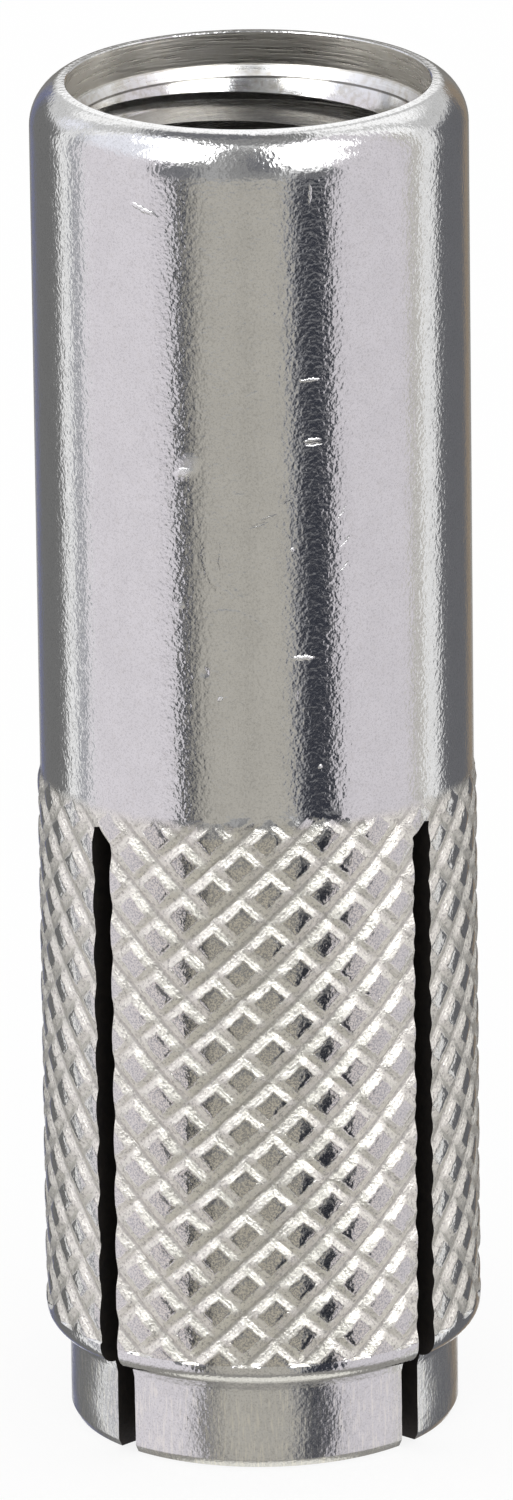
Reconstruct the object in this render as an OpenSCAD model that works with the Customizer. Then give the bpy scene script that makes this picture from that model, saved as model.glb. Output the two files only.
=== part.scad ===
// Drop-in anchor: a steel shell with a threaded mouth, a knurled and slotted expansion
// end, and the loose expander plug inside it. Millimetres, +Z towards the mouth.
// The origin is the centre of the nose face, on which the anchor stands.
// Angles round the shell are counted from the front, -Y, and grow towards +X.

/* [Shell] */
// Overall length of the shell, nose face to mouth rim (2 in)
shell_len = 50.8; // [46:0.1:70]
// Wall of the plain shank, outwards from the thread's major diameter (1/16 in)
shell_wall = 1.5875; // [1.3:0.0005:2.5]
// Radius of the rounded shoulder round the mouth
shoulder_r = 1.75; // [1.4:0.05:2.5]

/* [Mouth] */
// Width of the flat rim at the mouth
rim_w = 0.3; // [0.15:0.05:0.5]
// Radial room of the mouth counterbore round the thread
mouth_gap = 0.25; // [0.1:0.05:0.35]
// Depth of the mouth counterbore
mouth_depth = 1.25; // [0.8:0.05:2]
// Depth of the smooth lead below the counterbore
lead_len = 1.25; // [0.8:0.05:2.5]
// Step in radius from the counterbore to the lead
lead_step = 0.1; // [0.05:0.01:0.2]
// Slope of the lead, its fall in radius
lead_fall = 0.45; // [0.1:0.05:0.6]
// Included angle of the countersink between the lead and the thread
sink_angle = 120; // [90:1:130]

/* [Thread] */
// Major diameter of the internal thread (1/2 in)
thread_d = 12.7; // [10:0.1:16]
// Depth of the thread, from its major diameter in to the tapping drill
thread_depth = 0.95; // [0.7:0.05:1.1]
// Length of the internal thread (3/4 in)
thread_len = 19.05; // [14:0.05:20]

/* [Expansion end] */
// Fall in radius from the plug's chamber to the hole through the nose
taper_fall = 1.43; // [0.8:0.01:2]
// Length of the straight hole through the nose
exit_len = 2; // [1:0.1:4]
// Chamfer at the lip of the nose hole
exit_chamfer = 0.3; // [0.1:0.05:0.6]

/* [Nose] */
// Height of the plain nose below the collar
nose_h = 3.05; // [2:0.05:5]
// Step in radius from the shank in to the nose
nose_step = 0.77; // [0.5:0.01:1]
// Chamfer round the foot of the nose
nose_chamfer_w = 0.14; // [0.05:0.01:0.3]
// Height of that chamfer
nose_chamfer_h = 0.3; // [0.1:0.05:0.6]
// Height of the short cone between the nose and the collar
nose_cone_h = 0.35; // [0.2:0.05:0.6]
// Radius of the rounding under the collar
collar_r = 0.75; // [0.4:0.05:0.8]
// Plain land between that rounding and the knurl
collar_land = 0.15; // [0.1:0.05:0.5]

/* [Knurl] */
// Number of helical grooves each way round the shell
knurl_starts = 24; // [16:1:30]
// Height of one diamond, along the axis
knurl_pitch = 2.015; // [1.6:0.005:2.2]
// Number of half diamonds up the band
knurl_rows = 20; // [12:1:20]
// Height of the crests above the plain shank
knurl_rise = 0.11; // [0.05:0.01:0.2]
// Depth of the grooves below the crests
knurl_depth = 0.2; // [0.15:0.01:0.4]
// Share of each diamond that is flat on top
knurl_flat = 0.45; // [0.3:0.01:0.6]
// Height over which the knurl runs out into the shank
knurl_runout = 0.55; // [0.4:0.05:1]
// Angle of one flat's centre in the lowest row
knurl_turn = 2.6; // [0:0.1:15]

/* [Slots] */
// Width of the saw cuts that part the four leaves
slot_w = 0.87; // [0.6:0.01:1.5]
// Height of the cuts at the outside of the shell
slot_h = 24.2; // [18:0.1:26]
// Diameter of the saw that cut them
saw_d = 63; // [60:1:100]
// Angle of the first cut, left of the front
slot_angle_left = -45.3; // [-50:0.1:-40]
// Angle of the second cut, right of the front
slot_angle_right = 48; // [40:0.1:50]

/* [Plug] */
// Length of the expander plug
plug_len = 16; // [12:0.1:17]
// Radial room round the plug where it goes in through the thread
plug_pass = 0.25; // [0.15:0.01:0.4]
// Radial clearance of the plug in its own bore
plug_gap = 0.08; // [0.03:0.01:0.12]
// Gap between the end of the thread and the back of the plug
plug_drop = 0.5; // [0.3:0.05:2]
// Way that the plug slides down before it bears on the taper
plug_travel = 3.4; // [2:0.1:5]
// Length of the tapered lead of the plug
plug_lead = 3; // [1.5:0.1:5]
// Chamfer at both ends of the plug
plug_chamfer = 0.4; // [0.2:0.05:0.8]

/* [Hidden] */
$fn = 96;
past = 1; // how far a cutter runs past the face it cuts

shank_r = thread_d / 2 + shell_wall;
minor_r = thread_d / 2 - thread_depth;
mouth_r = thread_d / 2 + mouth_gap;
rim_r = mouth_r + rim_w;
lead_r = mouth_r - lead_step;
lead_z = shell_len - mouth_depth - lead_len;
sink_h = (lead_r - lead_fall - minor_r) / tan(sink_angle / 2);
thread_end = lead_z - thread_len;

shoulder_axis = shank_r - shoulder_r;
shoulder_z = shell_len - sqrt(pow(shoulder_r, 2) - pow(rim_r - shoulder_axis, 2));

nose_r = shank_r - nose_step;
crest_r = shank_r + knurl_rise;
groove_r = crest_r - knurl_depth;
crest_proud = 0.02; // how far the rolled crests stand above the collar
collar_face = crest_r - crest_proud;
collar_z = nose_h + nose_cone_h;
knurl_z = collar_z + collar_r + collar_land;
knurl_top = knurl_z + knurl_rows * knurl_pitch / 2;
knurl_lap = 0.05; // how far the collar reaches up round the lowest row
knurl_sunk = 0.4; // how far the band reaches down into the collar
under_groove = 0.2; // from the grooves in to the core that carries the band
band_wall = 0.4; // from the core in to the inside of the band
core_r = groove_r - under_groove;
band_r = core_r - band_wall;
foot_r = groove_r - under_groove / 2;
head_r = shank_r - crest_proud;

// The plug stands below the thread, and the taper starts where the plug's travel says
plug_r = minor_r - plug_pass;
chamber_r = plug_r + plug_gap;
exit_r = chamber_r - taper_fall;
plug_top = thread_end - plug_drop;
bearing_z = plug_top - plug_len + plug_lead - plug_travel;
gap_share = plug_gap / taper_fall;
taper_top = (bearing_z - gap_share * exit_len) / (1 - gap_share);
taper_slope = taper_fall / (taper_top - exit_len);
plug_tip_r = plug_r - plug_lead * taper_slope;

// Outline of the shell's outside, without the knurl: radius across, height up
module shell_outline() {
    // shank with its rounded shoulder
    intersection() {
        translate([0, knurl_top + knurl_runout / 2])
            square([shank_r, shell_len - knurl_top - knurl_runout / 2]);
        union() {
            square([shank_r, shoulder_z]);
            square([shoulder_axis, shell_len]);
            translate([shoulder_axis, shoulder_z]) circle(shoulder_r);
        }
    }
    // core that carries the knurl
    translate([0, collar_z]) square([core_r, knurl_top + knurl_runout - collar_z]);
    // collar with its rounded underside
    intersection() {
        translate([0, collar_z]) square([collar_face, knurl_z + knurl_lap - collar_z]);
        union() {
            translate([0, collar_z]) square([collar_face - collar_r, collar_r]);
            translate([0, collar_z + collar_r]) square([collar_face, collar_r]);
            translate([collar_face - collar_r, collar_z + collar_r]) circle(collar_r);
        }
    }
    // nose with its chamfered foot, and the short cone up to the collar
    polygon([
        [0, 0],
        [nose_r - nose_chamfer_w, 0],
        [nose_r, nose_chamfer_h],
        [nose_r, nose_h],
        [collar_face - collar_r, collar_z],
        [0, collar_z]
    ]);
}

// Outline of the hole down the shell, from the nose up: exit, taper, plug chamber,
// tapping drill with its countersink, lead and counterbore
module bore_outline() {
    polygon([
        [0, -past],
        [exit_r + exit_chamfer + past, -past],
        [exit_r, exit_chamfer],
        [exit_r, exit_len],
        [chamber_r, taper_top],
        [chamber_r, thread_end - (minor_r - chamber_r)],
        [minor_r, thread_end],
        [minor_r, lead_z - sink_h],
        [lead_r - lead_fall, lead_z],
        [lead_r, shell_len - mouth_depth],
        [mouth_r, shell_len - mouth_depth],
        [mouth_r, shell_len + past],
        [0, shell_len + past]
    ]);
}

// Angle, in the model's frame, of a knurl column counted in half diamonds
function column_angle(i) = knurl_turn - 90 + i * 180 / knurl_starts;

function ring_point(r, i, z) = [r * cos(column_angle(i)), r * sin(column_angle(i)), z];

// Height of a knurl row counted in half diamonds, kept within the band
function row_z(j) = knurl_z + min(max(j, 0), knurl_rows) * knurl_pitch / 2;

// One row of the knurl: the four corners of each flat, then the groove crossings between
function row_points(j) = concat(
    [for (k = [0 : knurl_starts - 1], c = [0 : 3])
        let (i = 2 * k + j % 2)
            ring_point(crest_r,
                i + (c == 0 ? knurl_flat : c == 2 ? -knurl_flat : 0),
                row_z(j + (c == 1 ? knurl_flat : c == 3 ? -knurl_flat : 0)))],
    [for (k = [0 : knurl_starts - 1])
        ring_point(groove_r, 2 * k + 1 - j % 2, row_z(j))]
);

// Index of corner c of the flat at column i, and of the groove crossing at column i
function wrap(i) = (i + 2 * knurl_starts) % (2 * knurl_starts);
function flat_at(i, j, c) = 5 * knurl_starts * j + 4 * floor(wrap(i) / 2) + c;
function crossing_at(i, j) = 5 * knurl_starts * j + 4 * knurl_starts + floor(wrap(i) / 2);

// The flat and the flanks of one diamond, as triangles
function diamond_faces(i, j) =
    let (
        right = flat_at(i, j, 0),
        up = flat_at(i, j, 1),
        left = flat_at(i, j, 2),
        down = flat_at(i, j, 3),
        east = crossing_at(i + 1, j),
        west = crossing_at(i - 1, j),
        north = j < knurl_rows ? crossing_at(i, j + 1) : -1,
        south = j > 0 ? crossing_at(i, j - 1) : -1
    )
    concat(
        [[right, down, up], [up, down, left]],
        north < 0 ? [] : [
            [right, up, north], [right, north, east],
            [up, left, west], [up, west, north]],
        south < 0 ? [] : [
            [left, down, south], [left, south, west],
            [down, right, east], [down, east, south]]
    );

// The edge of the band at its first or last row, in order round the shell
function edge_at(k, c, j) =
    let (i = 2 * k + j % 2)
        c == 3 ? crossing_at(i + 1, j) : flat_at(i, j, [2, j == 0 ? 3 : 1, 0][c]);
function edge_column(k, c, j) = 2 * k + j % 2 + [-knurl_flat, 0, knurl_flat, 1][c];
function edge_ring(j, r, z) =
    [for (k = [0 : knurl_starts - 1], c = [0 : 3]) ring_point(r, edge_column(k, c, j), z)];

// Two triangles for each step between two rings of indices
function between(low, high) =
    [for (n = [0 : len(low) - 1], half = [0, 1])
        let (m = (n + 1) % len(low))
            half == 0 ? [low[n], high[n], high[m]] : [low[n], high[m], low[m]]];

// Diamond knurl as one band: flats, flanks and grooves, sunk into collar and shank at its ends
module knurl_band() {
    rows = [for (j = [0 : knurl_rows]) each row_points(j)];
    steps = 4 * knurl_starts;
    first = len(rows);
    low_edge = [for (k = [0 : knurl_starts - 1], c = [0 : 3]) edge_at(k, c, 0)];
    high_edge = [for (k = [0 : knurl_starts - 1], c = [0 : 3]) edge_at(k, c, knurl_rows)];
    rings = [for (ring = [0 : 3]) [for (n = [0 : steps - 1]) first + ring * steps + n]];
    polyhedron(
        points = concat(
            rows,
            edge_ring(0, foot_r, knurl_z - knurl_sunk),
            edge_ring(0, band_r, knurl_z - knurl_sunk),
            edge_ring(knurl_rows, head_r, knurl_top + knurl_runout),
            edge_ring(knurl_rows, band_r, knurl_top + knurl_runout)
        ),
        faces = concat(
            [for (j = [0 : knurl_rows], k = [0 : knurl_starts - 1])
                each diamond_faces(2 * k + j % 2, j)],
            between(rings[0], low_edge),
            between(rings[1], rings[0]),
            between(high_edge, rings[2]),
            between(rings[2], rings[3]),
            between(rings[3], rings[1])
        )
    );
}

// Saw cut right through the expansion end, with the round end that the saw leaves
module saw_cut(angle) {
    saw_top = slot_h + saw_d / 2 - sqrt(pow(saw_d / 2, 2) - pow(crest_r, 2));
    rotate([90, 0, angle + 90])
        linear_extrude(slot_w, center = true)
            intersection() {
                translate([0, saw_top - saw_d / 2]) circle(saw_d / 2);
                translate([-crest_r - past, -past])
                    square([2 * (crest_r + past), saw_top + 2 * past]);
            }
}

module anchor_shell() {
    color([0.74, 0.75, 0.77])
        difference() {
            union() {
                rotate_extrude() difference() {
                    shell_outline();
                    bore_outline();
                }
                knurl_band();
            }
            saw_cut(slot_angle_left);
            saw_cut(slot_angle_right);
        }
}

// Solid plug with a tapered lead that matches the taper of the bore
module expander_plug() {
    color([0.55, 0.56, 0.58])
        translate([0, 0, plug_top - plug_len])
            rotate_extrude()
                polygon([
                    [0, 0],
                    [plug_tip_r - plug_chamfer, 0],
                    [plug_tip_r + plug_chamfer * taper_slope, plug_chamfer],
                    [plug_r, plug_lead],
                    [plug_r, plug_len - plug_chamfer],
                    [plug_r - plug_chamfer, plug_len],
                    [0, plug_len]
                ]);
}

anchor_shell();
expander_plug();
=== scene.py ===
"""Looks of a zinc-plated drop-in anchor: shell mesh, plug mesh, materials, studio and camera.

Lengths are written in millimetres and turned into metres when a mesh is made.
Angles round the anchor are in degrees, counted from the front, -Y, and grow towards +X.
"""

import math

import bmesh
import bpy
from mathutils import Matrix, Vector, noise


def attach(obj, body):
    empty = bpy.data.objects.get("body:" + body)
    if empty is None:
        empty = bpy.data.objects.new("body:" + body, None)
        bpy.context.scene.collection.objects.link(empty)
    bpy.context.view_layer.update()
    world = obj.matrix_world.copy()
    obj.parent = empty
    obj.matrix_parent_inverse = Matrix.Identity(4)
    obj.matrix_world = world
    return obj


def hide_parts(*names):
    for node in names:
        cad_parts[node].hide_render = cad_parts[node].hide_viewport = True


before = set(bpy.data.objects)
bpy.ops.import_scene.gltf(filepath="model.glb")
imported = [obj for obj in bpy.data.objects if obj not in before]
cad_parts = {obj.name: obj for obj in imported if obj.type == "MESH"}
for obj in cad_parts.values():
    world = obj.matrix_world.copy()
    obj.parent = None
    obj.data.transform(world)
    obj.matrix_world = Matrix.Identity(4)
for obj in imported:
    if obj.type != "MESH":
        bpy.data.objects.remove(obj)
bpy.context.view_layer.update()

MM = 0.001

# Shell, the same sizes as its solid
SHELL_LEN = 50.8
THREAD_R = 6.35
MINOR_R = 5.4
THREAD_LEN = 19.05
THREAD_PITCH = 25.4 / 13
SHANK_R = THREAD_R + 1.5875
SHOULDER_R = 1.75
RIM_W = 0.3
RIM_FALL = 0.03
MOUTH_R = THREAD_R + 0.25
MOUTH_DEPTH = 1.25
LEAD_R = MOUTH_R - 0.1
LEAD_LEN = 1.25
LEAD_FALL = 0.45
SINK_ANGLE = 120
SINK_H = (LEAD_R - LEAD_FALL - MINOR_R) / math.tan(math.radians(SINK_ANGLE / 2))
LEAD_Z = SHELL_LEN - MOUTH_DEPTH - LEAD_LEN
THREAD_END = LEAD_Z - THREAD_LEN
NOSE_R = SHANK_R - 0.77
NOSE_H = 3.05
NOSE_CHAMFER_W = 0.14
NOSE_CHAMFER_H = 0.3
NOSE_CONE_H = 0.35
COLLAR_R = 0.75
COLLAR_LAND = 0.15
COLLAR_Z = NOSE_H + NOSE_CONE_H
PLUG_R = MINOR_R - 0.25
CHAMBER_R = PLUG_R + 0.08
EXIT_R = CHAMBER_R - 1.43
EXIT_LEN = 2.0
EXIT_CHAMFER = 0.3

# Plug
PLUG_LEN = 16.0
PLUG_LEAD = 3.0
PLUG_CHAMFER = 0.4
PLUG_TOP = THREAD_END - 0.5
PLUG_TRAVEL = 3.4
BEARING_Z = PLUG_TOP - PLUG_LEN + PLUG_LEAD - PLUG_TRAVEL
GAP_SHARE = (CHAMBER_R - PLUG_R) / (CHAMBER_R - EXIT_R)
TAPER_TOP = (BEARING_Z - GAP_SHARE * EXIT_LEN) / (1 - GAP_SHARE)
TAPER_SLOPE = (CHAMBER_R - EXIT_R) / (TAPER_TOP - EXIT_LEN)
PLUG_TIP_R = PLUG_R - PLUG_LEAD * TAPER_SLOPE

# Knurl: half diamonds are counted i round the shell and j up the band
STARTS = 24
HALF_TURN = 180 / STARTS
HALF_RISE = 2.015 / 2
KNURL_TURN = 2.6
KNURL_Z = COLLAR_Z + COLLAR_R + COLLAR_LAND
KNURL_ROWS = 21
CREST_R = SHANK_R + 0.11
GROOVE_R = CREST_R - 0.2
COLLAR_FACE = CREST_R - 0.02
FLOOR = 0.07
FLAT = 0.40
DOME = 0.015
SHALLOW = 0.68
LEAN_OUT = (-28, -8)
LEAN_IN = (-150, -120)
RUNOUT_Z = 24.45
RUNOUT_H = 0.6

# Lines of the knurl's mesh across one diamond, from groove to groove, in half diamonds
LINES = (0.0, 0.07, 0.3, 0.52, 0.60, 0.80, 1.0, 1.20, 1.40, 1.48, 1.70, 1.93)
COLUMNS = STARTS * len(LINES)

# Slots
SLOT_W = 0.87
SLOT_H = 24.2
SAW_R = 31.5
SLOT_ANGLES = (-45.3, 48.0)


def polar(radius, angle, height):
    """A point at that angle round the anchor."""
    turn = math.radians(angle)
    return (radius * math.sin(turn), -radius * math.cos(turn), height)


def smooth_step(low, high, value):
    """0 below low, 1 above high, and a smooth rise between."""
    share = min(max((value - low) / (high - low), 0.0), 1.0)
    return share * share * (3 - 2 * share)


def grain(x, y, z, size):
    """Smooth noise, -1 to 1, with grains of about that size."""
    return noise.noise(Vector((x / size, y / size, z / size)))


def arc(centre_r, centre_z, radius, start, end, steps):
    """Points of an arc in the outline's plane, angles from outwards to up."""
    points = []
    for n in range(steps + 1):
        turn = math.radians(start + (end - start) * n / steps)
        points.append((centre_r + radius * math.cos(turn), centre_z + radius * math.sin(turn)))
    return points


class Skin:
    """Points and faces of a mesh in the making."""

    def __init__(self):
        self.points = []
        self.faces = []

    def ring(self, radius, height, columns, start=0.0):
        """A level ring of points, evenly spaced."""
        first = len(self.points)
        for n in range(columns):
            self.points.append(polar(radius, start + 360 * n / columns, height))
        return list(range(first, first + columns))

    def join(self, low, high):
        """Faces between two rings of the same count."""
        for n in range(len(low)):
            after = (n + 1) % len(low)
            self.faces.append((low[n], low[after], high[after], high[n]))

    def sweep(self, outline, columns, start=0.0, joined_to=None):
        """Rings along an outline, joined in order. Returns the first and the last ring."""
        rings = [self.ring(radius, height, columns, start) for radius, height in outline]
        if joined_to:
            rings.insert(0, joined_to)
        for low, high in zip(rings, rings[1:]):
            self.join(low, high)
        return rings[0], rings[-1]

    def cap(self, ring, height):
        """Closes a ring with a fan to a point on the axis."""
        self.points.append((0.0, 0.0, height))
        middle = len(self.points) - 1
        for n in range(len(ring)):
            self.faces.append((ring[n], ring[(n + 1) % len(ring)], middle))

    def build(self, name, flipped=False):
        """The mesh object, in metres."""
        mesh = bpy.data.meshes.new(name)
        faces = [face[::-1] for face in self.faces] if flipped else self.faces
        mesh.from_pydata([[c * MM for c in point] for point in self.points], [], faces)
        mesh.validate()
        built = bpy.data.objects.new(name, mesh)
        bpy.context.scene.collection.objects.link(built)
        return built


def line_place(n):
    """Place of mesh line n across the knurl, in half diamonds: grooves are at odd places."""
    whole, part = divmod(n, len(LINES))
    return 2 * whole + LINES[part] - 1


def from_groove(place):
    """Distance to the nearest groove, in half diamonds."""
    return 1 - abs((place % 2) - 2 * ((place % 2) > 1))


def groove_share(away):
    """1 on a groove's floor, 0 on the flats, and a flank between that steepens to the floor."""
    return (1 - min(max((away - FLOOR) / (1 - FLAT - FLOOR), 0.0), 1.0)) ** 1.25


def knurl_radius(m, n):
    """Radius of the knurl where mesh lines m and n cross, with its wear and run-out."""
    across, along = line_place(m), line_place(n)
    i, j = (across + along) / 2, (across - along) / 2
    angle = KNURL_TURN + i * HALF_TURN
    height = KNURL_Z + j * HALF_RISE
    x, y, _ = polar(CREST_R, angle, 0)
    side, other = from_groove(across), from_groove(along)
    side += 0.13 * grain(x, y, height + 20, 0.5)
    other += 0.13 * grain(x, y, height + 60, 0.5)
    around = wrapped(angle)
    lean = 1 - smooth_step(*LEAN_IN, around) * (1 - smooth_step(*LEAN_OUT, around))
    lost = 1 - SHALLOW
    sunk = max(groove_share(side) - lost * lean, groove_share(other) - lost * (1 - lean), 0)
    for slot in SLOT_ANGLES:
        from_slot = abs(math.radians(wrapped(angle - slot))) * CREST_R
        if from_slot < 1.3:
            sunk *= 0.55 + 0.45 * smooth_step(0.4, 1.3, from_slot)
    radius = CREST_R - DOME - (CREST_R - DOME - GROOVE_R) * sunk
    ramp = 1 - sunk
    if min(side, other) >= 1 - FLAT:
        rest = ((1 - side) ** 2 + (1 - other) ** 2) / FLAT ** 2
        radius += DOME * (1 - rest / 2)
    radius += 0.010 * ramp * grain(x, y, height, 1.6)
    radius += 0.006 * grain(x, y, height + 40, 0.5)

    edge = RUNOUT_Z + 0.55 * math.exp(-((wrapped(angle) - 5) / 22) ** 2)
    edge += 0.30 * grain(x, y, 7.0, 0.9)
    fade = smooth_step(edge - 0.2, edge + RUNOUT_H, height)
    torn = 0.07 * grain(x, y, height, 0.35) * fade * (1 - fade) * 4
    radius += (SHANK_R - radius) * fade + torn
    if j >= KNURL_ROWS:
        return SHANK_R
    return min(radius, CREST_R)


def wrapped(angle):
    """The same angle between -180 and 180."""
    return (angle + 180) % 360 - 180


def knurl_band(skin):
    """The knurl as a grid along its own grooves. Returns its lowest and its highest ring."""
    per_diamond = len(LINES)
    depth = KNURL_ROWS * per_diamond
    index = {}

    def corner(m, n):
        if m >= COLUMNS:
            m, n = m - COLUMNS, n - COLUMNS
        if (m, n) not in index:
            across, along = line_place(m), line_place(n)
            angle = KNURL_TURN + (across + along) / 2 * HALF_TURN
            height = KNURL_Z + (across - along) / 2 * HALF_RISE
            index[m, n] = len(skin.points)
            skin.points.append(polar(knurl_radius(m, n), angle, height))
        return index[m, n]

    for m in range(COLUMNS):
        for n in range(m - depth, m + 1):
            if n == m:
                skin.faces.append((corner(m, m), corner(m + 1, m + 1), corner(m + 1, m)))
            elif n == m - depth:
                skin.faces.append((corner(m, n), corner(m, n + 1), corner(m + 1, n + 1)))
            else:
                skin.faces.append(
                    (corner(m, n), corner(m, n + 1), corner(m + 1, n + 1), corner(m + 1, n)))
    low = [corner(m, m) for m in range(COLUMNS)]
    high = [corner(m, m - depth) for m in range(COLUMNS)]
    return low, high


def shell_body():
    """The shell before its thread and slots are cut, as one closed mesh."""
    skin = Skin()
    low_knurl, high_knurl = knurl_band(skin)

    start = KNURL_TURN - HALF_TURN
    nose = [(EXIT_R + EXIT_CHAMFER, 0), (5.2, 0), (NOSE_R - NOSE_CHAMFER_W - 0.04, 0)]
    nose += arc(NOSE_R - NOSE_CHAMFER_W - 0.04, 0.04, 0.04, -90, -20, 2)
    nose += [(NOSE_R - 0.02, NOSE_CHAMFER_H - 0.04), (NOSE_R, NOSE_CHAMFER_H + 0.02)]
    nose += [(NOSE_R, NOSE_H * share) for share in (0.4, 0.97)]
    nose += [(NOSE_R + 0.03, NOSE_H + 0.04)]
    collar = arc(COLLAR_FACE - COLLAR_R, COLLAR_Z + COLLAR_R, COLLAR_R, -90, 0, 7)
    land = [(COLLAR_FACE, KNURL_Z - 0.06)]
    foot, land_ring = skin.sweep(nose + collar + land, COLUMNS, start)
    skin.join(land_ring, low_knurl)

    start -= KNURL_ROWS * HALF_TURN
    axis_r = SHANK_R - SHOULDER_R
    rim_r = MOUTH_R + RIM_W
    end_angle = math.degrees(math.acos((rim_r - axis_r) / SHOULDER_R))
    axis_z = SHELL_LEN - SHOULDER_R * math.sin(math.radians(end_angle))
    knurl_top = KNURL_Z + KNURL_ROWS * HALF_RISE
    shank = [(SHANK_R, knurl_top + step) for step in (0.25, 12, 23)]
    shoulder = arc(axis_r, axis_z, SHOULDER_R, 0, end_angle - 2, 11)
    rim = [(rim_r - 0.03, SHELL_LEN - RIM_FALL), (MOUTH_R + 0.04, SHELL_LEN)]
    rim += [(MOUTH_R, SHELL_LEN - 0.04)]
    step_z = SHELL_LEN - MOUTH_DEPTH
    mouth = [(MOUTH_R, step_z + 0.03), (MOUTH_R - 0.03, step_z)]
    lead = [(LEAD_R + 0.02, step_z), (LEAD_R, step_z - 0.02), (LEAD_R - LEAD_FALL, LEAD_Z)]
    sink = [(MINOR_R, LEAD_Z - SINK_H), (MINOR_R, THREAD_END)]
    chamber = [(CHAMBER_R, THREAD_END - (MINOR_R - CHAMBER_R)), (CHAMBER_R, TAPER_TOP)]
    way_out = [(EXIT_R, EXIT_LEN), (EXIT_R, EXIT_CHAMFER)]
    outline = shank + shoulder + rim + mouth + lead + sink + chamber + way_out
    _, last = skin.sweep(outline, COLUMNS, start, high_knurl)
    shift = round(KNURL_ROWS * HALF_TURN * COLUMNS / 360)
    skin.join(last[shift:] + last[:shift], foot)
    return skin.build("shell")


def helix_cutter():
    """Solid in the shape of the thread's groove: a trapezoid swept down a right-hand helix."""
    skin = Skin()
    steps = 84
    root_half = THREAD_PITCH / 16
    flank = math.tan(math.radians(30))
    inner_r = MINOR_R - 0.4
    mouth_half = root_half + (THREAD_R - inner_r) * flank
    turns = (SHELL_LEN - THREAD_END) / THREAD_PITCH
    count = int(turns * steps)
    sections = []
    for n in range(count + 1):
        height = THREAD_END + 0.7 + n * THREAD_PITCH / steps
        angle = THREAD_START + 360 * n / steps
        run_in = smooth_step(0, steps / 4, n)
        root = inner_r + 0.2 + (THREAD_R - inner_r - 0.2) * run_in
        half = mouth_half - (root - inner_r) * flank
        section = [
            (inner_r, -mouth_half), (root, -half), (root, half), (inner_r, mouth_half)]
        first = len(skin.points)
        skin.points += [polar(radius, angle, height + rise) for radius, rise in section]
        sections.append(list(range(first, first + 4)))
    for low, high in zip(sections, sections[1:]):
        skin.join(low, high)
    skin.faces.append(tuple(sections[0][::-1]))
    skin.faces.append(tuple(sections[-1]))
    return skin.build("helix_cutter")


def slot_cutter(angle, slant, seed):
    """Solid in the shape of one saw cut, with the wander and the rubbed lips of a real one."""
    skin = Skin()
    places = (0, 2.5, 4, 5.5, 6.9, 7.05, 7.15, 7.25, 7.5, 7.7, 7.85, 7.95, 8.05, 8.2, 9)
    places = [-place for place in reversed(places[1:])] + list(places)
    rows = 58
    saw_top = SLOT_H + SAW_R - math.sqrt(SAW_R ** 2 - CREST_R ** 2)
    sections = []
    for place in places:
        top = saw_top - SAW_R + math.sqrt(SAW_R ** 2 - place ** 2)
        section = []
        for side in (-1, 1):
            column = []
            for row in range(rows + 1):
                height = -1 + (top - 0.3 * (side == slant) * 1.4 + 1) * row / rows
                skin_r = NOSE_R if height < COLLAR_Z else SHANK_R
                lip = 0.015 * smooth_step(skin_r - 0.12, skin_r + 0.05, abs(place))
                wander = 0.02 * grain(side * 5 + seed, place / 3, height, 1.3)
                wander += 0.012 * grain(side * 9 + seed, place, height, 0.35)
                column.append((side * (SLOT_W / 2 + lip + wander), height))
            section += column if side < 0 else [(-0.1 * slant, top + 0.12)] + column[::-1]
        first = len(skin.points)
        turn = math.radians(angle)
        for across, height in section:
            x = place * math.sin(turn) + across * math.cos(turn)
            y = -place * math.cos(turn) + across * math.sin(turn)
            skin.points.append((x, y, height))
        sections.append(list(range(first, first + len(section))))
    for low, high in zip(sections, sections[1:]):
        skin.join(low, high)
    skin.faces.append(tuple(sections[0][::-1]))
    skin.faces.append(tuple(sections[-1]))
    return skin.build(f"slot_cutter_{seed}")


def outward(built):
    """Turns every face of a closed mesh outwards."""
    work = bmesh.new()
    work.from_mesh(built.data)
    bmesh.ops.recalc_face_normals(work, faces=work.faces)
    if work.calc_volume(signed=True) < 0:
        bmesh.ops.reverse_faces(work, faces=work.faces)
    work.to_mesh(built.data)
    work.free()


def cut(body, cutter):
    """Cuts the cutter out of the body and removes it."""
    outward(cutter)
    modifier = body.modifiers.new("cut", "BOOLEAN")
    modifier.operation = "DIFFERENCE"
    modifier.solver = "MANIFOLD"
    modifier.object = cutter
    bpy.context.view_layer.update()
    graph = bpy.context.evaluated_depsgraph_get()
    made = bpy.data.meshes.new_from_object(body.evaluated_get(graph))
    body.modifiers.clear()
    old = body.data
    body.data = made
    bpy.data.meshes.remove(old)
    bpy.data.objects.remove(cutter)


def shade_smooth(built, sharp_from):
    """Smooth shading that keeps edges above that angle sharp."""
    for face in built.data.polygons:
        face.use_smooth = True
    built.data.set_sharp_from_angle(angle=math.radians(sharp_from))


def make_plug():
    """The expander plug: turned all over, with a tapered lead."""
    skin = Skin()
    bottom = PLUG_TOP - PLUG_LEN
    outline = [(2.2, 0), (PLUG_TIP_R - PLUG_CHAMFER, 0)]
    outline += [(PLUG_TIP_R + PLUG_CHAMFER * TAPER_SLOPE, PLUG_CHAMFER), (PLUG_R, PLUG_LEAD)]
    outline += [(PLUG_R, PLUG_LEN / 2), (PLUG_R, PLUG_LEN - PLUG_CHAMFER)]
    outline += [(PLUG_R - PLUG_CHAMFER, PLUG_LEN), (1.2, PLUG_LEN), (0.7, PLUG_LEN - 0.25)]
    low, high = skin.sweep([(radius, bottom + rise) for radius, rise in outline], 120)
    skin.cap(high, PLUG_TOP - 0.6)
    skin.cap(low, bottom)
    plug = skin.build("plug")
    outward(plug)
    shade_smooth(plug, 25)
    return plug


THREAD_START = 20.0


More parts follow.
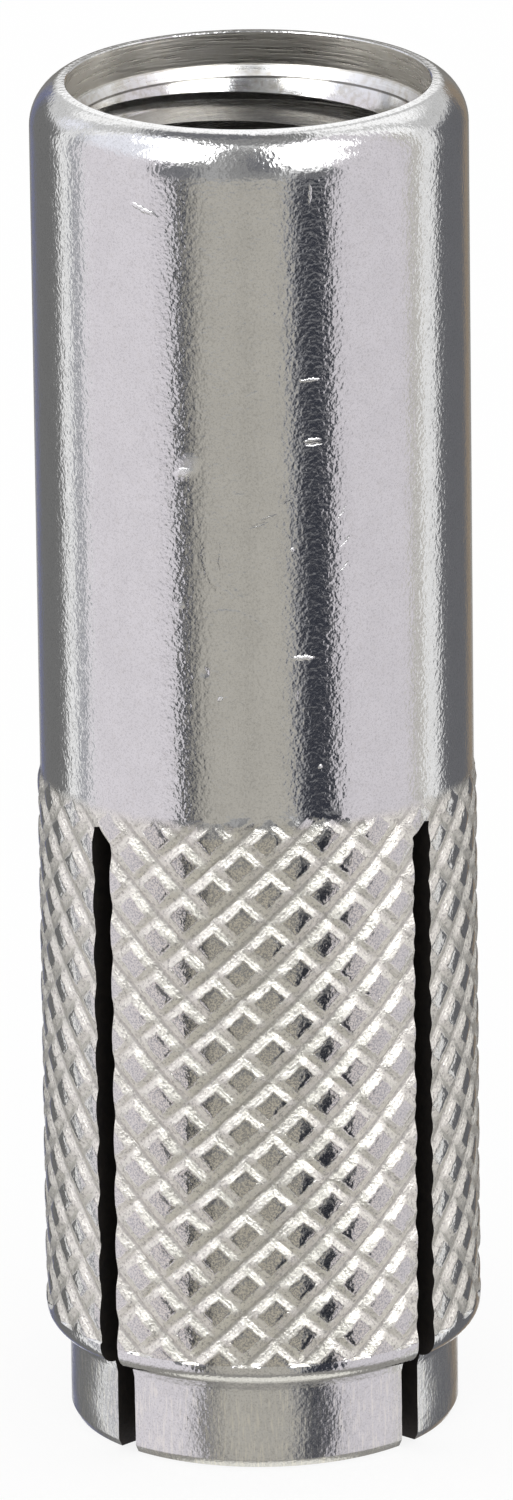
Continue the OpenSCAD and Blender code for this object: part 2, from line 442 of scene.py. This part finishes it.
def make_shell():
    """The shell: its closed body, with thread and slots cut out of it."""
    shell = shell_body()
    outward(shell)
    cut(shell, helix_cutter())
    for seed, (angle, slant) in enumerate(zip(SLOT_ANGLES, (1, -1))):
        cut(shell, slot_cutter(angle, slant, seed))
    shade_smooth(shell, 32)
    return shell


class Graph:
    """Writes a node tree, one call a node. Plain numbers and sockets both go in."""

    def __init__(self, tree):
        self.tree = tree
        self.tree.nodes.clear()

    def node(self, kind, **settings):
        made = self.tree.nodes.new(kind)
        for name, value in settings.items():
            setattr(made, name, value)
        return made

    def put(self, socket, value):
        if isinstance(value, bpy.types.NodeSocket):
            self.tree.links.new(value, socket)
        else:
            socket.default_value = value

    def math(self, operation, *values, clamp=False):
        made = self.node("ShaderNodeMath", operation=operation, use_clamp=clamp)
        for socket, value in zip(made.inputs, values):
            self.put(socket, value)
        return made.outputs[0]

    def ramp(self, value, low, high, to_low=0.0, to_high=1.0):
        """Smooth rise from to_low to to_high as the value goes from low to high."""
        made = self.node("ShaderNodeMapRange", interpolation_type="SMOOTHSTEP")
        for name, entry in (
            ("Value", value), ("From Min", low), ("From Max", high),
            ("To Min", to_low), ("To Max", to_high),
        ):
            self.put(made.inputs[name], entry)
        return made.outputs["Result"]

    def mix(self, share, first, second):
        """Mix of two colours."""
        made = self.node("ShaderNodeMix", data_type="RGBA")
        self.put(made.inputs[0], share)
        self.put(made.inputs[6], first)
        self.put(made.inputs[7], second)
        return made.outputs[2]

    def noise(self, where, size, detail=2.0, rough=0.5):
        """Noise from 0 to 1 with grains of that size in millimetres."""
        made = self.node("ShaderNodeTexNoise")
        self.put(made.inputs["Vector"], where)
        made.inputs["Scale"].default_value = 1 / size
        made.inputs["Detail"].default_value = detail
        made.inputs["Roughness"].default_value = rough
        return made.outputs["Fac"]

    def bump(self, height, depth, normal=None):
        """Bump of a height from 0 to 1, that many millimetres deep."""
        made = self.node("ShaderNodeBump")
        made.inputs["Distance"].default_value = depth * MM
        self.put(made.inputs["Height"], height)
        if normal:
            self.put(made.inputs["Normal"], normal)
        return made.outputs["Normal"]


def linear(shown):
    """Linear light of a colour or level as it is shown on a screen."""
    return ((shown + 0.055) / 1.055) ** 2.4 if shown > 0.04 else shown / 12.92


def tinted(level, tint=(1, 1, 1)):
    return tuple(linear(level * part) for part in tint) + (1.0,)


NEUTRAL = (1.0, 1.0, 1.0)
COOL = (0.985, 0.99, 1.025)
WARM = (1.015, 1.0, 0.97)
LILAC = (1.01, 0.99, 1.015)
BLUE = (0.93, 0.96, 1.2)
BLUE_GREY = (0.96, 0.98, 1.06)
INK = (0.93, 0.97, 1.12)
OLIVE = (1.02, 1.0, 0.955)
CREAM = (1.01, 1.0, 0.965)
AMBER = (1.1, 1.0, 0.88)
SOFTBOX = 1.8


def start_material(name):
    """A new material: its graph and the place on the anchor, in millimetres."""
    material = bpy.data.materials.new(name)
    material.use_nodes = True
    graph = Graph(material.node_tree)
    scaled = graph.node("ShaderNodeVectorMath", operation="SCALE")
    graph.put(scaled.inputs[0], graph.node("ShaderNodeTexCoord").outputs["Object"])
    scaled.inputs["Scale"].default_value = 1 / MM
    return material, graph, scaled.outputs[0]


def end_material(graph, colour, metallic, roughness, normal):
    """Puts the shader and the output on a graph."""
    shader = graph.node("ShaderNodeBsdfPrincipled")
    graph.put(shader.inputs["Base Color"], colour)
    shader.inputs["Metallic"].default_value = metallic
    graph.put(shader.inputs["Roughness"], roughness)
    graph.put(shader.inputs["Normal"], normal)
    out = graph.node("ShaderNodeOutputMaterial")
    graph.put(out.inputs["Surface"], shader.outputs[0])


def split(graph, place):
    """The three parts of a place."""
    parts = graph.node("ShaderNodeSeparateXYZ")
    graph.put(parts.inputs[0], place)
    return [parts.outputs[name] for name in "XYZ"]


def angle_round(graph, x, y):
    """Angle round the anchor in degrees, from the front towards +X."""
    turn = graph.math("ARCTAN2", x, graph.math("MULTIPLY", y, -1))
    return graph.math("MULTIPLY", turn, 180 / math.pi)


def knurl_zone(graph, angle, z):
    """Distance from the nearest groove each way, in half diamonds, and 1 within the band."""
    i = graph.math("DIVIDE", graph.math("SUBTRACT", angle, KNURL_TURN), HALF_TURN)
    j = graph.math("DIVIDE", graph.math("SUBTRACT", z, KNURL_Z), HALF_RISE)
    side = graph.math("SUBTRACT", 1, graph.math("PINGPONG", graph.math("ADD", i, j), 1))
    other = graph.math("SUBTRACT", 1, graph.math("PINGPONG", graph.math("SUBTRACT", i, j), 1))
    inside = graph.math("MULTIPLY", graph.ramp(z, KNURL_Z - 0.02, KNURL_Z + 0.02),
                        graph.ramp(z, RUNOUT_Z + 0.2, RUNOUT_Z + 0.8, 1.0, 0.0))
    return side, other, inside


# Marks on the plain shank. Each has its place (angle, height), its length and width, the angle
# of its length to the level, how far it stands up or goes in, and how white it is
WEAR = (
    ("streak, top left", (-29.0, 47.99), (1.35, 0.22), -19, 0.9, 1.0),
    ("line, top right", (15.7, 48.67), (0.75, 0.11), 88, 0.4, 0.6),
    ("dash, high right", (15.1, 41.77), (0.75, 0.12), 0, 0.7, 0.5),
    ("hair, high", (-0.1, 41.36), (0.6, 0.09), 25, 0.15, 0.35),
    ("dash, right", (15.5, 39.52), (0.62, 0.13), 5, 0.7, 0.6),
    ("dash shadow, right", (15.8, 39.36), (0.7, 0.12), 0, -0.6, 0.0),
    ("chip", (-17.2, 38.55), (1.15, 0.85), 62, 0.5, 0.55),
    ("chip, bright", (-18.4, 38.33), (0.85, 0.36), 10, 1.0, 1.0),
    ("hair, middle", (-3.5, 37.58), (0.5, 0.1), 0, 0.12, 0.3),
    ("scratch, middle", (1.2, 36.45), (0.8, 0.12), 20, -0.3, 0.25),
    ("scratch end, middle", (3.6, 36.72), (0.7, 0.06), 22, 0.25, 0.0),
    ("long hair, right", (9.7, 37.4), (1.15, 0.08), 30, 0.15, 0.3),
    ("dot, right", (9.8, 35.46), (0.22, 0.2), 0, 0.5, 0.8),
    ("flash, right", (12.1, 31.37), (0.95, 0.19), -3, 0.9, 1.0),
    ("dent, left", (-13.6, 30.87), (0.42, 0.42), 0, -0.5, 0.15),
    ("dot, left", (-9.4, 29.88), (0.18, 0.2), 0, 0.6, 1.0),
    ("hair, low right", (10.7, 29.95), (0.5, 0.07), 86, 0.4, 0.3),
    ("tick, right edge", (23.5, 36.70), (0.55, 0.07), 52, -0.8, 0.0),
    ("second tick, right edge", (24.3, 35.6), (0.5, 0.06), 48, -0.8, 0.0),
    ("third tick, right edge", (23.9, 34.65), (0.5, 0.07), 50, -0.8, 0.0),
    ("nick, left", (-19.8, 33.33), (0.38, 0.24), -20, 0.6, 0.5),
    ("dot, low right", (16.6, 27.19), (0.15, 0.15), 0, 0.7, 0.7),
)
WEAR_DEPTH = 0.035

# Rubbed arcs: centre, radii, and the direction from the centre in which the arc lies
ARCS = (
    ("large arc", (-2.6, 35.3), (1.45, 1.65), -140),
    ("large arc, inner", (-1.6, 35.2), (1.0, 1.45), -150),
    ("lower arc", (-7.6, 31.75), (1.5, 1.42), 50),
)


def reach(graph, spread, place, size, tilt):
    """Place within a mark, in units of its own half length and half width."""
    inner = graph.node("ShaderNodeMapping", vector_type="TEXTURE")
    graph.put(inner.inputs["Vector"], spread)
    inner.inputs["Location"].default_value = (
        math.radians(place[0]) * SHANK_R, place[1], 0)
    inner.inputs["Rotation"].default_value = (0, 0, math.radians(tilt))
    inner.inputs["Scale"].default_value = (size[0] / 2, size[1] / 2, 1)
    return inner.outputs[0]


def length_of(graph, vector):
    measure = graph.node("ShaderNodeVectorMath", operation="LENGTH")
    graph.put(measure.inputs[0], vector)
    return measure.outputs["Value"]


def wear_marks(graph, place, angle, z):
    """All the marks together: their whiteness and their height."""
    flat = graph.node("ShaderNodeCombineXYZ")
    graph.put(flat.inputs["X"], graph.math("MULTIPLY", angle, math.radians(SHANK_R)))
    graph.put(flat.inputs["Y"], z)
    fray = graph.node("ShaderNodeTexNoise")
    graph.put(fray.inputs["Vector"], place)
    fray.inputs["Scale"].default_value = 1 / 0.15
    shake = graph.node("ShaderNodeVectorMath", operation="MULTIPLY_ADD")
    graph.put(shake.inputs[0], fray.outputs["Color"])
    shake.inputs[1].default_value = (0.13, 0.13, 0)
    graph.put(shake.inputs[2], flat.outputs[0])
    centred = graph.node("ShaderNodeVectorMath", operation="SUBTRACT")
    graph.put(centred.inputs[0], shake.outputs[0])
    centred.inputs[1].default_value = (0.065, 0.065, 0)
    spread = centred.outputs[0]

    whiteness, height = 0.0, 0.0
    for name, spot, size, tilt, rise, white in WEAR:
        inner = reach(graph, spread, spot, size, tilt)
        mask = graph.ramp(length_of(graph, inner), 0.35, 1.15, 1.0, 0.0)
        mask.node.label = name
        height = graph.math("MULTIPLY_ADD", mask, rise, height)
        if white:
            whiteness = graph.math("MAXIMUM", whiteness, graph.math("MULTIPLY", mask, white))
    for name, spot, radii, side in ARCS:
        inner = reach(graph, spread, spot, (2 * radii[0], 2 * radii[1]), 0)
        away = graph.math("ABSOLUTE", graph.math("SUBTRACT", length_of(graph, inner), 1))
        along = graph.node("ShaderNodeVectorMath", operation="DOT_PRODUCT")
        graph.put(along.inputs[0], inner)
        turn = math.radians(side)
        along.inputs[1].default_value = (math.cos(turn), math.sin(turn), 0)
        sector = graph.ramp(along.outputs["Value"], 0.45, 0.75)
        line = graph.math("MULTIPLY", graph.ramp(away, 0.02, 0.11, 1.0, 0.0), sector)
        line.node.label = name
        height = graph.math("MULTIPLY_ADD", line, 0.16, height)
    return whiteness, height


def zinc_material():
    """Bright zinc plating outside: orange peel, wear marks, rougher knurl flanks, and painted
    shade on the knurl, darkest at its front and in its groove floors.
    """
    material, graph, place = start_material("zinc_plating")
    x, y, z = split(graph, place)
    angle = angle_round(graph, x, y)
    side, other, inside = knurl_zone(graph, angle, z)
    lean = graph.math("MAXIMUM", graph.ramp(angle, *LEAN_OUT),
                      graph.ramp(angle, *LEAN_IN, 1.0, 0.0))
    narrower = (1 - SHALLOW) * (1 - FLAT - FLOOR)
    nearest = graph.math(
        "MINIMUM", graph.math("MULTIPLY_ADD", lean, narrower, side),
        graph.math("MULTIPLY_ADD", graph.math("SUBTRACT", 1, lean), narrower, other))
    frayed = graph.math("MULTIPLY_ADD", graph.noise(place, 0.25, 2, 0.6), 0.24, nearest)
    groove = graph.math("MULTIPLY", inside, graph.ramp(frayed, 0.64, 0.74, 1.0, 0.0))
    rising = graph.math("MULTIPLY", graph.ramp(other, 0.05, 0.17, 1.0, 0.0), lean)
    falling = graph.math("MULTIPLY", graph.ramp(side, 0.05, 0.17, 1.0, 0.0),
                         graph.math("SUBTRACT", 1, lean))
    floor = graph.math("MULTIPLY", inside, graph.math("MAXIMUM", rising, falling))

    patches = graph.noise(place, 1.2, 4, 0.6)
    mottle = graph.noise(place, 0.22, 4, 0.65)
    flecks = graph.noise(place, 0.07, 2, 0.7)
    colour = graph.mix(graph.ramp(patches, 0.40, 0.62), tinted(0.93), tinted(0.915))
    colour = graph.mix(graph.ramp(mottle, 0.46, 0.75, 0.0, 0.25), colour, tinted(0.82, WARM))
    colour = graph.mix(graph.ramp(flecks, 0.46, 0.70, 0.0, 0.50), colour, tinted(0.74, NEUTRAL))
    torn = graph.noise(place, 0.12, 3, 0.7)
    bright = graph.mix(graph.ramp(torn, 0.47, 0.70), tinted(0.99, CREAM), tinted(0.76, WARM))
    # painted shade: a darker flecked colour laid over the knurl, at 0.9 share on its front,
    # within 24 degrees of -Y, and 0.35 on its sides
    flecked_painted_shade = graph.mix(graph.ramp(flecks, 0.38, 0.62), tinted(0.89, OLIVE), tinted(0.70, NEUTRAL))
    lit_side = graph.ramp(graph.math("ABSOLUTE", angle), 24, 42, 0.9, 0.35)
    colour = graph.mix(graph.math("MULTIPLY", inside, lit_side), colour, flecked_painted_shade)
    colour = graph.mix(groove, colour, bright)
    # painted shade: the groove floors are darkened towards a warm 0.74 grey
    colour = graph.mix(graph.math("MULTIPLY", floor, 0.6), colour, tinted(0.74, WARM))
    whiteness, wear = wear_marks(graph, place, angle, z)
    colour = graph.mix(whiteness, colour, tinted(1.0))

    streaks = graph.node("ShaderNodeCombineXYZ")
    graph.put(streaks.inputs["X"], graph.math("MULTIPLY", angle, math.radians(SHANK_R)))
    graph.put(streaks.inputs["Y"], graph.math("MULTIPLY", z, 0.12))
    brushed = graph.noise(streaks.outputs[0], 0.13, 2, 0.7)
    on_nose = graph.ramp(z, NOSE_H - 0.05, NOSE_H + 0.05, 1.0, 0.0)
    brushing = graph.math("MULTIPLY", graph.ramp(brushed, 0.48, 0.66), on_nose)
    colour = graph.mix(graph.math("MULTIPLY", brushing, 0.6), colour, tinted(1.0, CREAM))

    roughness = graph.ramp(mottle, 0.3, 0.75, 0.09, 0.16)
    roughness = graph.math("MULTIPLY_ADD", on_nose, 0.09, roughness)
    roughness = graph.math("ADD", roughness, graph.math("MULTIPLY", groove, 0.26))
    roughness = graph.math("MULTIPLY_ADD", whiteness, 0.35, roughness)

    tracks = graph.math("SINE", graph.math("MULTIPLY", nearest, 42.0))
    tracks = graph.math("MULTIPLY", graph.math("MULTIPLY", tracks, groove), 0.5)
    normal = graph.bump(wear, WEAR_DEPTH)
    normal = graph.bump(graph.math("MULTIPLY", brushed, on_nose), 0.0045, normal)
    normal = graph.bump(graph.noise(place, 0.35, 2, 0.5), 0.008, normal)
    normal = graph.bump(graph.noise(place, 0.15, 1, 0.5), 0.011, normal)
    normal = graph.bump(graph.math("MULTIPLY", torn, groove), 0.036, normal)
    normal = graph.bump(tracks, 0.0025, normal)
    end_material(graph, colour, 1.0, roughness, normal)
    return material


def turned_material():
    """Inside of the mouth and thread: plating over the marks of the turning tool and the tap,
    with painted shade that darkens the mouth's wall and, more, the thread.
    """
    material, graph, place = start_material("turned_zinc")
    x, y, z = split(graph, place)
    rings = graph.node("ShaderNodeCombineXYZ")
    graph.put(rings.inputs["X"], graph.math("MULTIPLY", x, 0.04))
    graph.put(rings.inputs["Y"], graph.math("MULTIPLY", y, 0.04))
    graph.put(rings.inputs["Z"], z)
    marks = graph.noise(rings.outputs[0], 0.10, 2, 0.7)
    mottle = graph.noise(place, 0.3, 3)
    step_z = SHELL_LEN - MOUTH_DEPTH
    wall = graph.ramp(z, step_z - 0.03, step_z + 0.03)
    thread = graph.ramp(z, LEAD_Z - 0.04, LEAD_Z + 0.04, 1.0, 0.0)
    upper = graph.ramp(z, step_z - 0.42, step_z - 0.36)
    line = graph.math("MULTIPLY", graph.ramp(z, step_z - 0.47, step_z - 0.43),
                      graph.ramp(z, step_z - 0.39, step_z - 0.35, 1.0, 0.0))
    coarse = graph.math("ADD", graph.math("MULTIPLY", upper, 0.8),
                        graph.math("MULTIPLY", thread, 0.6), clamp=True)
    colour = graph.mix(graph.ramp(mottle, 0.4, 0.7), tinted(0.93), tinted(0.84, WARM))
    # painted shade: the mouth's wall, above the step, is darkened to an olive 0.76 grey
    colour = graph.mix(graph.math("MULTIPLY", wall, 0.8), colour, tinted(0.76, OLIVE))
    colour = graph.mix(line, colour, tinted(0.5, WARM))
    # painted shade: the thread, deep in the bore, is darkened to a warm 0.56 grey
    colour = graph.mix(graph.math("MULTIPLY", thread, 0.85), colour, tinted(0.56, WARM))
    roughness = graph.math("ADD", graph.ramp(marks, 0.3, 0.7, 0.10, 0.18),
                           graph.math("MULTIPLY", coarse, 0.2))
    height = graph.math("MULTIPLY", marks, graph.ramp(coarse, 0, 1, 0.12, 1.0))
    normal = graph.bump(height, 0.014)
    normal = graph.bump(graph.noise(place, 0.09, 2, 0.6), 0.003, normal)
    end_material(graph, colour, 1.0, roughness, normal)
    return material


def sawn_painted_shade_material():
    """Walls of the saw cuts: rough, unpolished steel, painted nearly black as shade inside the
    cuts.
    """
    material, graph, place = start_material("sawn_steel_painted_shade")
    marks = graph.noise(place, 0.3, 3)
    # painted shade: the slot walls get a near-black base colour, 0.12 to 0.22, for the shade
    # inside the saw cuts
    colour = graph.mix(marks, tinted(0.22, (1.1, 1.0, 0.9)), tinted(0.12, (0.95, 0.97, 1.1)))
    end_material(graph, colour, 0.6, 0.55, graph.bump(marks, 0.02))
    return material


def steel_material():
    """Plain oiled steel of the plug, with fine turning marks."""
    material, graph, place = start_material("plain_steel")
    x, y, z = split(graph, place)
    radius = graph.math("SQRT", graph.math("ADD", graph.math("MULTIPLY", x, x),
                                           graph.math("MULTIPLY", y, y)))
    turned = graph.math("SINE", graph.math("MULTIPLY", graph.math("ADD", radius, z), 40.0))
    stain = graph.noise(place, 1.5, 4)
    colour = graph.mix(stain, tinted(0.62, COOL), tinted(0.48, WARM))
    end_material(graph, colour, 1.0, graph.ramp(stain, 0.3, 0.7, 0.28, 0.42),
                 graph.bump(turned, 0.003))
    return material


ZINC, TURNED, SAWN_PAINTED_SHADE = range(3)


def paint_faces(shell):
    """Gives each face its material: plating outside, turned inside, sawn steel with painted
    shade in the slots.
    """
    for face in shell.data.polygons:
        x, y, z = (c / MM for c in face.center)
        radius = math.hypot(x, y)
        if radius < MOUTH_R + 0.01 and z > THREAD_END - 1:
            face.material_index = TURNED
        if z > SLOT_H + 1.3 or radius > CREST_R - 0.02:
            continue
        for angle in SLOT_ANGLES:
            turn = math.radians(angle)
            away = x * math.cos(turn) + y * math.sin(turn)
            facing = abs(face.normal.x * math.cos(turn) + face.normal.y * math.sin(turn))
            if abs(abs(away) - SLOT_W / 2) < 0.12 and facing > 0.8:
                face.material_index = SAWN_PAINTED_SHADE


# What the cards have to give for the plating, which keeps part of the light, to show their level
CARD_GAIN = 1 / linear(0.92)
FLAT_OUT = 200


class Studio:
    """Soft-edged cards laid over one another all round, placed by azimuth and elevation."""

    def __init__(self, graph):
        self.graph = graph
        parts = graph.node("ShaderNodeSeparateXYZ")
        graph.put(parts.inputs[0], graph.node("ShaderNodeTexCoord").outputs["Generated"])
        x, y, z = (parts.outputs[name] for name in "XYZ")
        degrees = 180 / math.pi
        turn = graph.math("ARCTAN2", x, graph.math("MULTIPLY", y, -1))
        self.azimuth = graph.math("MULTIPLY", turn, degrees)
        self.elevation = graph.math("MULTIPLY", graph.math("ARCSINE", z), degrees)
        self.shade = self.lit(1.0, NEUTRAL)

    def lit(self, level, tint):
        """Light of a card that shows that level and tint in the plating."""
        return tuple(linear(level * part) * CARD_GAIN for part in tint) + (1.0,)

    def card(self, name, level, tint, sides=(-FLAT_OUT, FLAT_OUT), ends=(-FLAT_OUT, FLAT_OUT),
             soft=(4, 4), soft_ends=(6, 6)):
        """One card: its sides left and right, and its ends below and above, in degrees."""
        graph = self.graph
        mask = 1.0
        for value, edges, edge_soft in (
                (self.azimuth, sides, soft), (self.elevation, ends, soft_ends)):
            for edge, blur, rise in zip(edges, edge_soft, (1, -1)):
                if abs(edge) < FLAT_OUT:
                    inside = graph.ramp(value, edge - blur, edge + blur,
                                        0.5 - rise / 2, 0.5 + rise / 2)
                    mask = graph.math("MULTIPLY", mask, inside)
        self.shade = graph.mix(mask, self.shade, self.lit(level, tint))
        self.shade.node.label = name


def lay_cards(studio):
    """The cards that the photograph's metal mirrors, from the back of the studio forwards."""
    card = studio.card
    card("slate left", 0.42, NEUTRAL, (-166, -119), (-FLAT_OUT, 16))
    card("slate left edge", 0.46, BLUE, (-168, -157), (-FLAT_OUT, 14), (3, 4))
    card("slate right", 0.39, COOL, (113, 166), (-FLAT_OUT, 16))
    card("slate right edge", 0.48, AMBER, (153, 168), (-FLAT_OUT, 14), (4, 3))
    card("between left", 0.76, NEUTRAL, (-172, -110), (16, 66), (6, 4), (5, 3))
    card("window left", 0.96, NEUTRAL, (-172, -133), (33, 53), (6, 5), (5, 4))
    card("lamp left", 0.90, COOL, (-132, -119), (19, 38), (4, 3))
    card("between right", 0.74, NEUTRAL, (111, 172), (16, 68), (4, 6), (5, 3))
    card("window right", 0.98, NEUTRAL, (122, 160), (34, 68), (6, 6), (8, 3))
    card("edge line left", 0.88, NEUTRAL, (-116, -110), (-FLAT_OUT, 40), (3.5, 2.5), (6, 14))
    card("gap left", 0.59, COOL, (-109.5, -100), (-FLAT_OUT, 30), (2.5, 4), (6, 10))
    card("panel left", 0.815, LILAC, (-99, -41.5), (-FLAT_OUT, 70), (4, 2), (6, 4))
    card("panel left, high", 0.90, COOL, (-106, -41.5), (22, 68), (4, 4), (8, 3))
    card("front", 0.655, OLIVE, (-40, 21), (-FLAT_OUT, -9), (2, 3), (6, 3))
    card("front, high", 0.53, NEUTRAL, (-38, 20), (-10, 70), (5, 4), (3, 8))
    card("camera", 0.62, OLIVE, (-5, -1), (-FLAT_OUT, -9), (2, 2), (6, 3))
    card("front shade", 0.43, COOL, (-1, 15), (10, 50), (4, 3), (8, 8))
    card("front left, high", 0.62, NEUTRAL, (-26, -12), (-10, 66), (4, 4), (6, 6))
    card("flag left rim", 0.56, OLIVE, (-38, -28), (-FLAT_OUT, -10), (3, 4), (6, 6))
    card("flag left", 0.22, INK, (-41, -34.5), (-FLAT_OUT, -10), (1.5, 3), (6, 6))
    card("flag left, high", 0.44, COOL, (-50, -28), (-12, 17), (4, 4), (6, 4))
    card("panel right", 0.785, LILAC, (42.5, 99), (-FLAT_OUT, 70), (2, 3), (6, 4))
    card("gap right", 0.70, WARM, (92, 101), (-FLAT_OUT, 40), (3, 2))
    card("edge line right", 0.87, NEUTRAL, (101, 114), (-FLAT_OUT, 28), (3, 3), (6, 8))
    card("flag right rim", 0.52, COOL, (19.5, 27), (-FLAT_OUT, -8), (2.5, 2), (6, 8))
    card("flag right", 0.21, INK, (24, 43), (-FLAT_OUT, -8), (2.5, 2), (6, 8))
    card("flag right, high", 0.40, COOL, (22, 46), (-12, 5), (4, 4), (6, 6))
    card("softbox left", SOFTBOX, NEUTRAL, (-60, -26), (29, 69), (3, 2.5), (5, 2))
    card("softbox left, low", SOFTBOX, NEUTRAL, (-54, -39), (23, 40), (3, 3), (3, 4))
    card("softbox left, outer", SOFTBOX, NEUTRAL, (-88, -62), (52, 69), (4, 4), (4, 2))
    card("softbox right", SOFTBOX, NEUTRAL, (16, 54), (22, 66), (2, 3), (4, 3))
    card("softbox right, low", SOFTBOX, NEUTRAL, (26, 38), (12, 24), (3, 4), (3, 4))
    card("softbox right, outer", SOFTBOX, NEUTRAL, (56, 72), (46, 66), (4, 4), (5, 3))
    card("ceiling", 0.52, NEUTRAL, ends=(71, FLAT_OUT), soft_ends=(3, 3))
    card("ceiling, rear left", 0.43, COOL, (-FLAT_OUT, -104), (60, FLAT_OUT), (4, 8), (4, 4))
    card("ceiling, rear right", 0.44, NEUTRAL, (100, FLAT_OUT), (76, FLAT_OUT), (8, 4), (3, 4))
    card("rear, left side", 0.46, WARM, (-FLAT_OUT, -165), (-20, 14), (3, 5), (6, 5))
    card("rear, right side", 0.46, WARM, (165, FLAT_OUT), (-20, 14), (5, 3), (6, 5))
    card("table edge", 0.54, WARM, ends=(-FLAT_OUT, -46), soft_ends=(6, 8))
    card("table", 0.86, CREAM, ends=(-FLAT_OUT, -66), soft_ends=(6, 3))


def make_studio():
    """World: white to the camera, plain light for matt things, a studio of cards for gloss."""
    world = bpy.data.worlds.new("studio")
    bpy.context.scene.world = world
    world.use_nodes = True
    graph = Graph(world.node_tree)
    studio = Studio(graph)
    lay_cards(studio)
    glossy = graph.node("ShaderNodeLightPath").outputs["Is Glossy Ray"]
    background = graph.node("ShaderNodeBackground")
    graph.put(background.inputs["Color"],
              graph.mix(glossy, (1.0, 1.0, 1.0, 1.0), studio.shade))
    out = graph.node("ShaderNodeOutputWorld")
    graph.put(out.inputs["Surface"], background.outputs[0])


def make_floor():
    """Plain pale floor under the anchor, which keeps its shadow."""
    size = 3.0
    mesh = bpy.data.meshes.new("floor")
    corners = [(-size, -size, 0), (size, -size, 0), (size, size, 0), (-size, size, 0)]
    mesh.from_pydata(corners, [], [(0, 1, 2, 3)])
    floor = bpy.data.objects.new("floor", mesh)
    bpy.context.scene.collection.objects.link(floor)
    floor.location.z = -0.00002
    material = bpy.data.materials.new("pale_floor")
    material.use_nodes = True
    graph = Graph(material.node_tree)
    matt = graph.node("ShaderNodeBsdfDiffuse")
    matt.inputs["Color"].default_value = (0.97, 0.97, 0.97, 1.0)
    glow = graph.node("ShaderNodeEmission")
    glow.inputs["Color"].default_value = (1.0, 1.0, 1.0, 1.0)
    both = graph.node("ShaderNodeMixShader")
    both.inputs[0].default_value = 0.84
    graph.put(both.inputs[1], matt.outputs[0])
    graph.put(both.inputs[2], glow.outputs[0])
    out = graph.node("ShaderNodeOutputMaterial")
    graph.put(out.inputs["Surface"], both.outputs[0])
    mesh.materials.append(material)
    floor.visible_glossy = False


# Camera, fitted to the photograph
LOOK_AT = Vector((-0.0113, 0.0, 25.372)) * MM
CAMERA_AWAY = 538.74 * MM
CAMERA_ELEVATION = 18.124
CAMERA_ROLL = 0.7267
FOCAL_PIXELS = 14727.2
IMAGE_HEIGHT = 1500
SENSOR = 36.0


def make_camera():
    """The photograph's viewpoint: in front, a little above, far away with a long lens."""
    camera = bpy.data.objects.new("camera", bpy.data.cameras.new("camera"))
    bpy.context.scene.collection.objects.link(camera)
    rise = math.radians(CAMERA_ELEVATION)
    roll = math.radians(CAMERA_ROLL)
    forward = Vector((0, math.cos(rise), -math.sin(rise)))
    up = Vector((0, math.sin(rise), math.cos(rise)))
    right = Vector((1, 0, 0))
    image_right = math.cos(roll) * right - math.sin(roll) * up
    image_up = math.sin(roll) * right + math.cos(roll) * up
    camera.matrix_world = Matrix.Translation(LOOK_AT - forward * CAMERA_AWAY) @ Matrix(
        (image_right, image_up, -forward)).transposed().to_4x4()
    camera.data.sensor_width = SENSOR
    camera.data.lens = SENSOR * FOCAL_PIXELS / IMAGE_HEIGHT
    camera.data.clip_start = 0.01
    camera.data.clip_end = 10.0
    bpy.context.scene.camera = camera


make_camera()
make_studio()
make_floor()

shell = make_shell()
shell.data.materials.clear()
for made in (zinc_material(), turned_material(), sawn_painted_shade_material()):
    shell.data.materials.append(made)
paint_faces(shell)
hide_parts("anchor_shell")
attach(shell, "shell")

plug = make_plug()
plug.data.materials.append(steel_material())
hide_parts("expander_plug")
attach(plug, "plug")

bpy.context.scene.view_settings.view_transform = "Standard"
